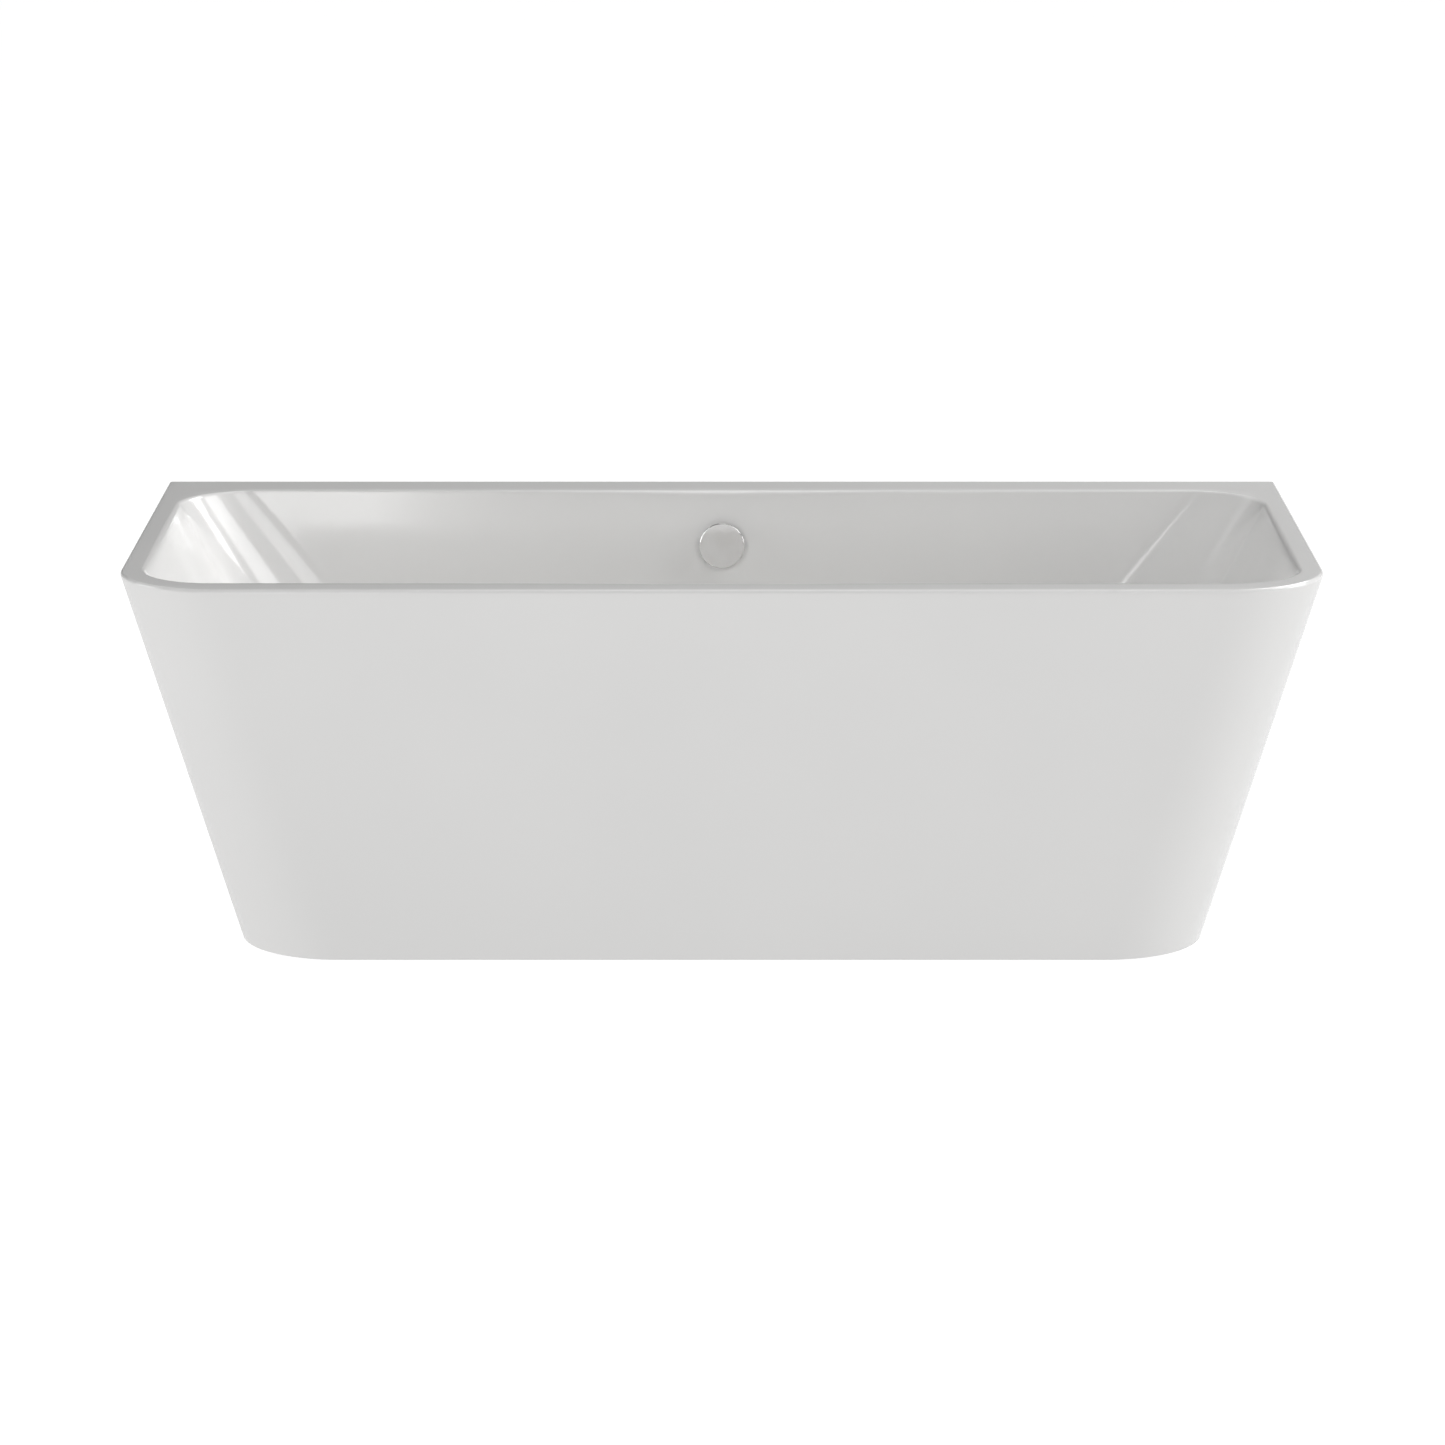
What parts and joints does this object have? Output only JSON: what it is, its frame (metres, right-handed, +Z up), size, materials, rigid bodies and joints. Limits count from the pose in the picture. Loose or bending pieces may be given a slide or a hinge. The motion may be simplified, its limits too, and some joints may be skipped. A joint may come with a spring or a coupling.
{
  "type": "freestanding bathtub",
  "caption": "White acrylic back-to-wall bath: tapered skirt with rounded front corners, square flat back, deep basin, chrome overflow knob in the rear wall, pop-up waste, frame on screw feet.",
  "frame": {"origin": "on the floor, under the middle of the overall length and width", "axes": "+X along the length, to the right seen from the front; +Y from the front towards the wall; +Z up"},
  "size_m": [1.7, 0.8, 0.58],
  "materials": {
    "acrylic": "gloss white cast acrylic",
    "laminate": "rough glass-fibre laminate",
    "board": "raw chipboard",
    "frame_steel": "zinc-plated welded tube",
    "zinc_steel": "zinc-plated fixings",
    "pad_plastic": "black nylon",
    "chrome": "polished",
    "brass": "machined",
    "seal_rubber": "satin",
    "trap_plastic": "moulded white",
    "hose_plastic": "ribbed flexible, off-white",
    "cable_plastic": "black sheath"
  },
  "bodies": {
    "bath": {"base_board": "board", "basin": "acrylic", "basin_backing": "laminate", "bowden_cable": "cable_plastic", "cable_clips": "cable_plastic", "cable_elbow": "brass", "cable_elbow_nut": "brass", "foot_lock_nuts": "zinc_steel", "frame_bar_left": "frame_steel", "frame_bar_right": "frame_steel", "frame_outrigger_left": "frame_steel", "frame_outrigger_right": "frame_steel", "frame_rail_front": "frame_steel", "frame_rail_rear": "frame_steel", "frame_screws": "zinc_steel", "frame_tie_left": "frame_steel", "frame_tie_right": "frame_steel", "hose_nut_lower": "trap_plastic", "hose_nut_upper": "trap_plastic", "outlet_nut": "trap_plastic", "outlet_pipe": "trap_plastic", "outlet_washer": "seal_rubber", "overflow_flange": "chrome", "overflow_front_seal": "seal_rubber", "overflow_gasket": "seal_rubber", "overflow_hose": "hose_plastic", "overflow_housing": "trap_plastic", "rear_batten": "board", "skirt": "acrylic", "skirt_blocks": "board", "tail_nut": "trap_plastic", "tail_washer": "seal_rubber", "trap_cup": "trap_plastic", "trap_cup_seal": "seal_rubber", "waste_body": "trap_plastic", "waste_body_gasket": "seal_rubber", "waste_flange": "chrome", "waste_seal": "seal_rubber"},
    "overflow_knob": {"knob": "chrome", "knob_grub_screw": "zinc_steel", "spindle": "brass", "crank": "brass"},
    "plug": {"plug_cap": "chrome", "plug_seal": "seal_rubber", "plug_stem": "brass", "lift_pin": "zinc_steel"},
    "foot_1": {"foot_1_stem": "zinc_steel", "foot_1_pad": "pad_plastic"},
    "foot_2": {"foot_2_stem": "zinc_steel", "foot_2_pad": "pad_plastic"},
    "foot_3": {"foot_3_stem": "zinc_steel", "foot_3_pad": "pad_plastic"},
    "foot_4": {"foot_4_stem": "zinc_steel", "foot_4_pad": "pad_plastic"},
    "foot_5": {"foot_5_stem": "zinc_steel", "foot_5_pad": "pad_plastic"}
  },
  "joints": [
    {"name": "knob_turn", "type": "hinge", "parent": "bath", "child": "overflow_knob", "pos_m": [0, 0.31352, 0.498], "axis": [0, -0.9903, 0.1386], "range_deg": [0, 60]},
    {"name": "plug_lift", "type": "slide", "parent": "bath", "child": "plug", "axis": [0, 0, 1], "range_m": [0, 0.012]},
    {"name": "foot_1_screw", "type": "slide", "parent": "bath", "child": "foot_1", "axis": [0, 0, -1], "range_m": [0, 0.025]},
    {"name": "foot_2_screw", "type": "slide", "parent": "bath", "child": "foot_2", "axis": [0, 0, -1], "range_m": [0, 0.025]},
    {"name": "foot_3_screw", "type": "slide", "parent": "bath", "child": "foot_3", "axis": [0, 0, -1], "range_m": [0, 0.025]},
    {"name": "foot_4_screw", "type": "slide", "parent": "bath", "child": "foot_4", "axis": [0, 0, -1], "range_m": [0, 0.025]},
    {"name": "foot_5_screw", "type": "slide", "parent": "bath", "child": "foot_5", "axis": [0, 0, -1], "range_m": [0, 0.025]}
  ],
  "couplings": [
    {"joint": "plug_lift", "follows": "knob_turn", "m_per_rad": 0.011459}
  ]
}
